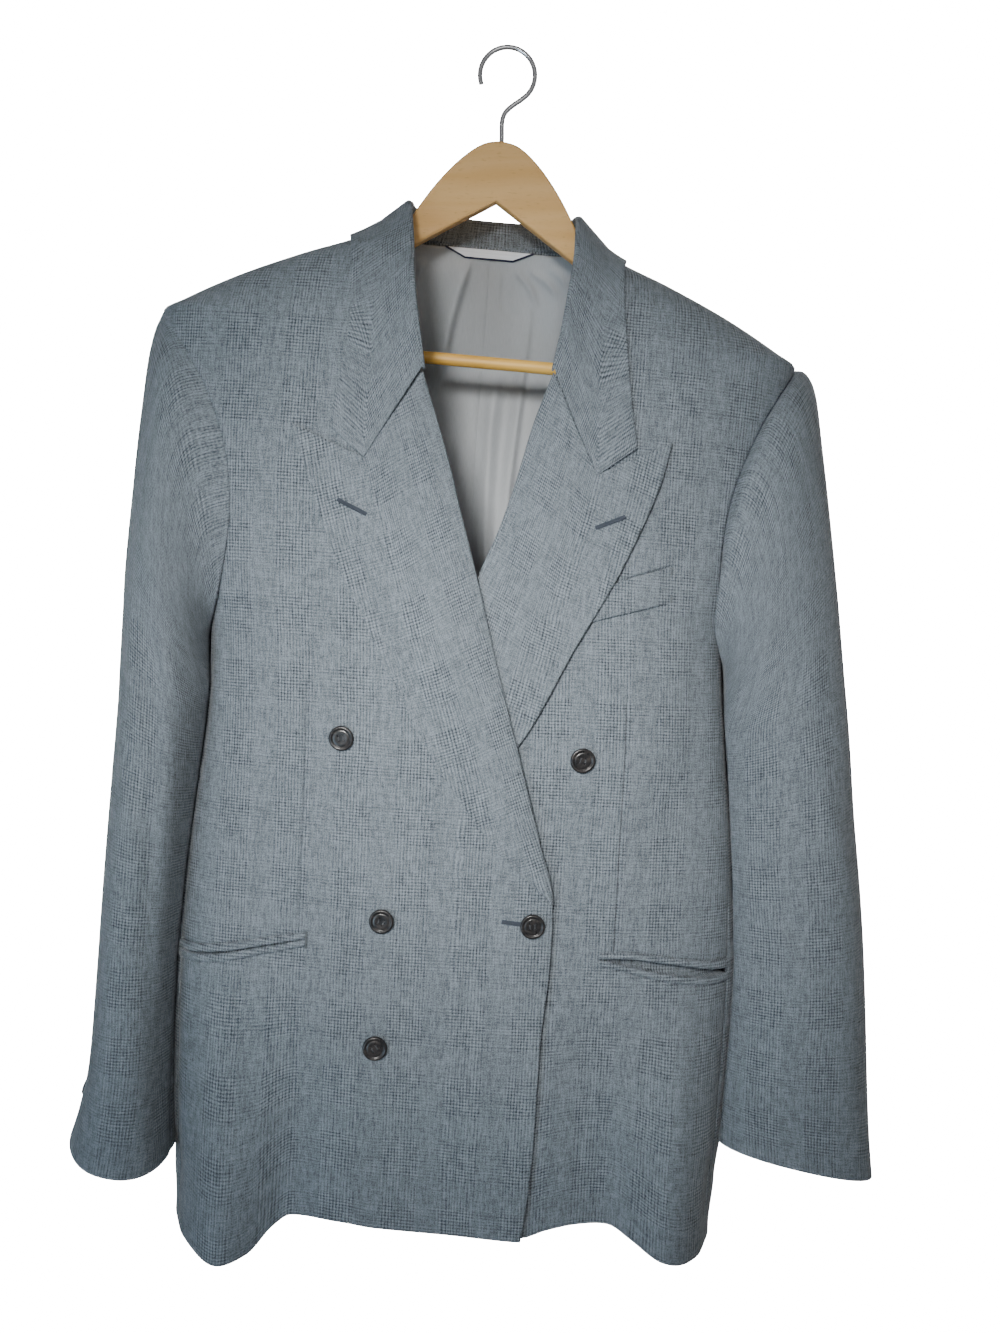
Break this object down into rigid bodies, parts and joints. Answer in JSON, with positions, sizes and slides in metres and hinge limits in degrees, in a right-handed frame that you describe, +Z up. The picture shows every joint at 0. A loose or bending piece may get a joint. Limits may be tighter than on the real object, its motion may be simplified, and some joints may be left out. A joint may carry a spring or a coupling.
{
  "type": "double breasted blazer on a hanger",
  "caption": "Double breasted wool blazer with peak lapels, a breast welt and jetted pockets, hung flat on a wooden hanger with a trouser bar and a wire hook.",
  "frame": {"origin": "inside top of the hanger's hook, where a rail carries it", "axes": "+Z up, the fronts face -Y, the wearer's left is at +X"},
  "size_m": [0.6529, 0.1752, 0.9707],
  "materials": {
    "wool_cloth": "woven wool, matte",
    "satin_lining": "satin weave, soft sheen",
    "dark_horn": "polished",
    "label_cloth": "woven, matte",
    "beech_wood": "satin varnish",
    "bar_wood": "gloss varnish",
    "steel_wire": "polished"
  },
  "bodies": {
    "root": {"front_right": "wool_cloth", "side_right": "wool_cloth", "back_right": "wool_cloth", "lapel_right": "wool_cloth", "sleeve_right_top": "wool_cloth", "sleeve_right_under": "wool_cloth", "pocket_right_upper_jet": "wool_cloth", "pocket_right_lower_jet": "wool_cloth", "lining_back_right": "satin_lining", "cuff_button_right_1": "dark_horn", "cuff_button_right_2": "dark_horn", "front_left": "wool_cloth", "side_left": "wool_cloth", "back_left": "wool_cloth", "lapel_left": "wool_cloth", "sleeve_left_top": "wool_cloth", "sleeve_left_under": "wool_cloth", "pocket_left_upper_jet": "wool_cloth", "pocket_left_lower_jet": "wool_cloth", "lining_back_left": "satin_lining", "cuff_button_left_1": "dark_horn", "cuff_button_left_2": "dark_horn", "collar": "wool_cloth", "breast_welt": "wool_cloth", "neck_label": "label_cloth", "button_upper_right": "dark_horn", "button_middle_right": "dark_horn", "button_lower_right": "dark_horn", "button_fastened": "dark_horn", "button_upper_left": "dark_horn", "hanger_wood": "beech_wood", "hanger_bar": "bar_wood", "hanger_hook": "steel_wire"}
  },
  "joints": []
}
